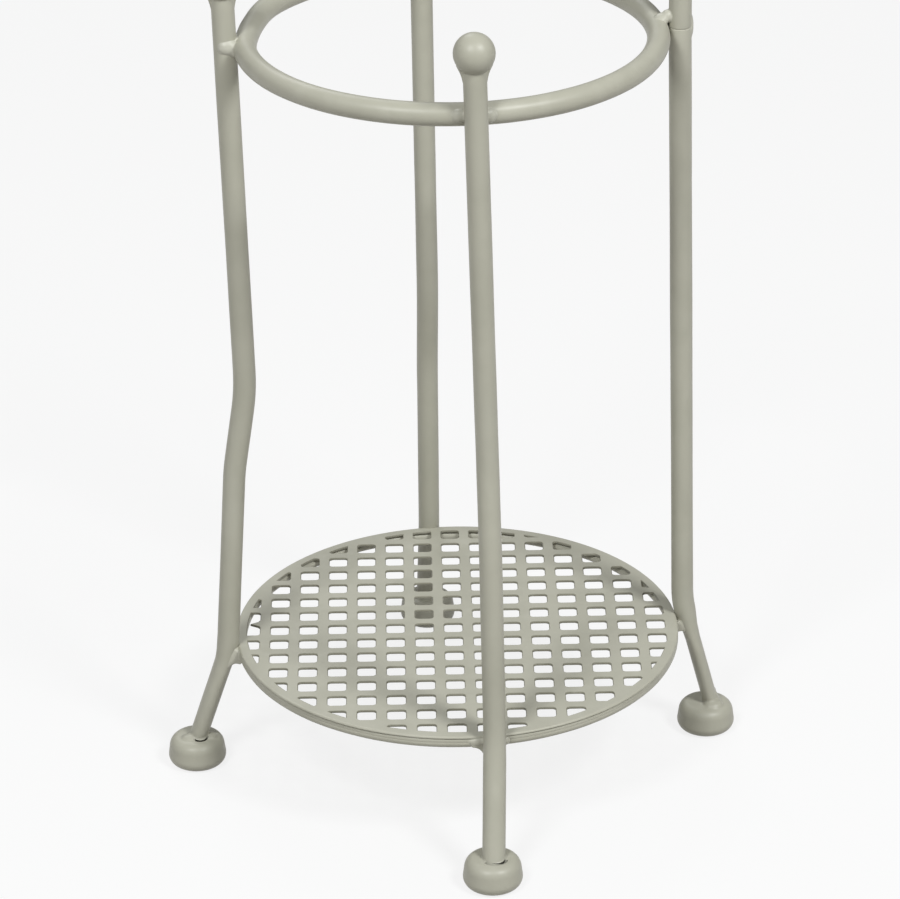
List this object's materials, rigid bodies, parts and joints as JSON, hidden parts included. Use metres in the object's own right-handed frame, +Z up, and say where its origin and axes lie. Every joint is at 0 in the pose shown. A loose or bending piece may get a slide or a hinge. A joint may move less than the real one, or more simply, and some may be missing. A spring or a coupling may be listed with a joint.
{
  "type": "freestanding toilet paper holder",
  "caption": "Freestanding toilet paper holder of bent, painted steel rod: a roll arm on a tall post above an open store with a ring, a perforated round base and bun feet.",
  "frame": {"origin": "on the floor, on the axis of the ring and the perforated base", "axes": "+Z up; +X towards the leg that carries the post, so the arm reaches back over the store towards -X; +Y away from the viewer's side, where the front leg stands on -Y"},
  "size_m": [0.2229, 0.2309, 0.614],
  "materials": {
    "sage_paint": "satin sage-grey paint over steel",
    "bead_paint": "the same paint, thinner and paler over the rough weld beads"
  },
  "bodies": {
    "root": {"leg_left": "sage_paint", "leg_right": "sage_paint", "leg_front": "sage_paint", "leg_back": "sage_paint", "roll_arm": "sage_paint", "upper_ring": "sage_paint", "base_hoop": "sage_paint", "perforated_base": "sage_paint", "foot_left": "sage_paint", "foot_right": "sage_paint", "foot_front": "sage_paint", "foot_back": "sage_paint", "finial_left": "sage_paint", "finial_front": "sage_paint", "finial_back": "sage_paint", "finial_arm": "sage_paint", "finial_weld_left": "bead_paint", "finial_weld_front": "bead_paint", "finial_weld_back": "bead_paint", "finial_weld_arm": "bead_paint", "ring_weld_left": "bead_paint", "ring_weld_right": "bead_paint", "ring_weld_front": "bead_paint", "ring_weld_back": "bead_paint", "base_weld_left": "bead_paint", "base_weld_right": "bead_paint", "base_weld_front": "bead_paint", "base_weld_back": "bead_paint", "post_weld": "bead_paint"}
  },
  "joints": []
}
